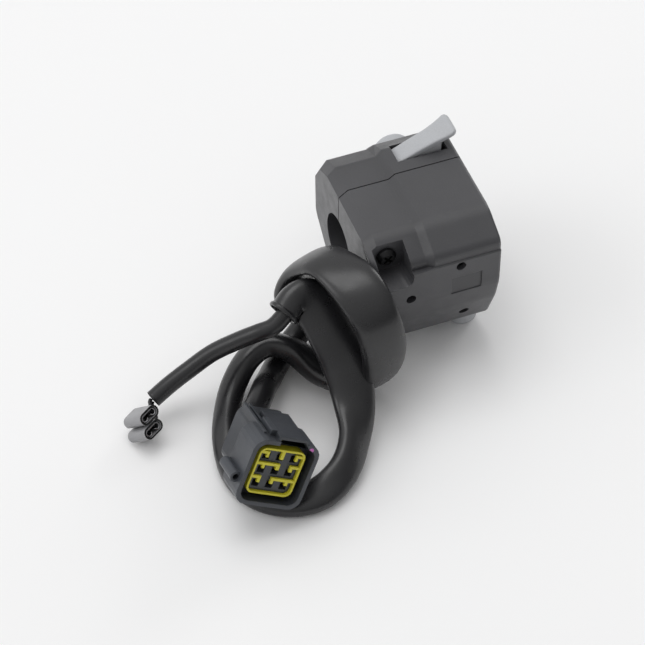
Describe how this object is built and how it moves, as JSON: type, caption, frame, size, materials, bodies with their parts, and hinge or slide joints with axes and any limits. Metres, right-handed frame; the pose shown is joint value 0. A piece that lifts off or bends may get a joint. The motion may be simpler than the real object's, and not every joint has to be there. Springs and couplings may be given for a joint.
{
  "type": "handlebar switch cluster",
  "caption": "Left-hand handlebar switch housing that clamps on a bar, with pass trigger, dimmer dome, indicator slide and horn button, and a sleeved harness with a square sealed connector.",
  "frame": {"origin": "on the axis of the handlebar bore, halfway along the housing", "axes": "+X along the bar towards the grip, +Z up as the part lies on its thumb controls, +Y up on the bike"},
  "size_m": [0.1407, 0.124, 0.0695],
  "materials": {
    "housing": "matte",
    "control": "satin",
    "screw": "satin",
    "bright_steel": "satin",
    "brass": "satin",
    "inner_plastic": "satin",
    "board": "satin",
    "sleeve": "satin",
    "rubber": "matte",
    "slate": "satin",
    "yellow": "satin",
    "seal": "matte",
    "cover_grey": "satin"
  },
  "bodies": {
    "housing": {"switch_shell": "housing", "cover_shell": "housing", "clamp_screws": "screw", "screw_inserts": "brass", "pass_pivot_pin": "bright_steel", "pass_spring": "bright_steel", "pass_switch": "housing", "dimmer_spring": "bright_steel", "dimmer_switch": "housing", "turn_base": "inner_plastic", "horn_spring": "bright_steel", "horn_contact": "brass", "switch_board": "board", "board_screws": "bright_steel", "inner_wires": "sleeve", "loom_grommet": "rubber", "loom_sleeve": "sleeve", "clutch_lead": "sleeve", "clutch_wires": "sleeve", "terminal_covers": "cover_grey", "terminal_sockets": "bright_steel", "connector_lead": "sleeve", "connector_housing": "slate", "connector_retainer": "yellow", "connector_terminals": "brass", "wire_seal": "seal"},
    "trigger": {"pass_lever": "control"},
    "dimmer": {"dimmer_button": "control"},
    "slider": {"turn_slider": "inner_plastic", "turn_spring": "bright_steel", "turn_detent_ball": "bright_steel", "turn_detent_spring": "bright_steel"},
    "knob": {"turn_knob": "control", "turn_plunger": "inner_plastic"},
    "horn": {"horn_button": "control"}
  },
  "joints": [
    {"name": "pass_trigger", "type": "hinge", "parent": "housing", "child": "trigger", "pos_m": [0.0045, 0.0098, 0.02], "axis": [0, 1, 0], "range_deg": [0, 12], "stiffness_Nm_per_rad": 0.15, "springref_deg": -11.46, "deforming": ["pass_spring"]},
    {"name": "dimmer_push", "type": "slide", "parent": "housing", "child": "dimmer", "axis": [0, -1, 0], "range_m": [0, 0.002], "stiffness_N_per_m": 600, "springref_m": -0.003, "deforming": ["dimmer_spring"]},
    {"name": "turn_slide", "type": "slide", "parent": "housing", "child": "slider", "axis": [1, 0, 0], "range_m": [-0.004, 0.004]},
    {"name": "turn_cancel", "type": "slide", "parent": "slider", "child": "knob", "axis": [0, 0, 1], "range_m": [0, 0.0015], "stiffness_N_per_m": 600, "springref_m": -0.004, "deforming": ["turn_spring"]},
    {"name": "horn_push", "type": "slide", "parent": "housing", "child": "horn", "axis": [0, 0, 1], "range_m": [0, 0.0025], "stiffness_N_per_m": 600, "springref_m": -0.004, "deforming": ["horn_spring"]}
  ]
}
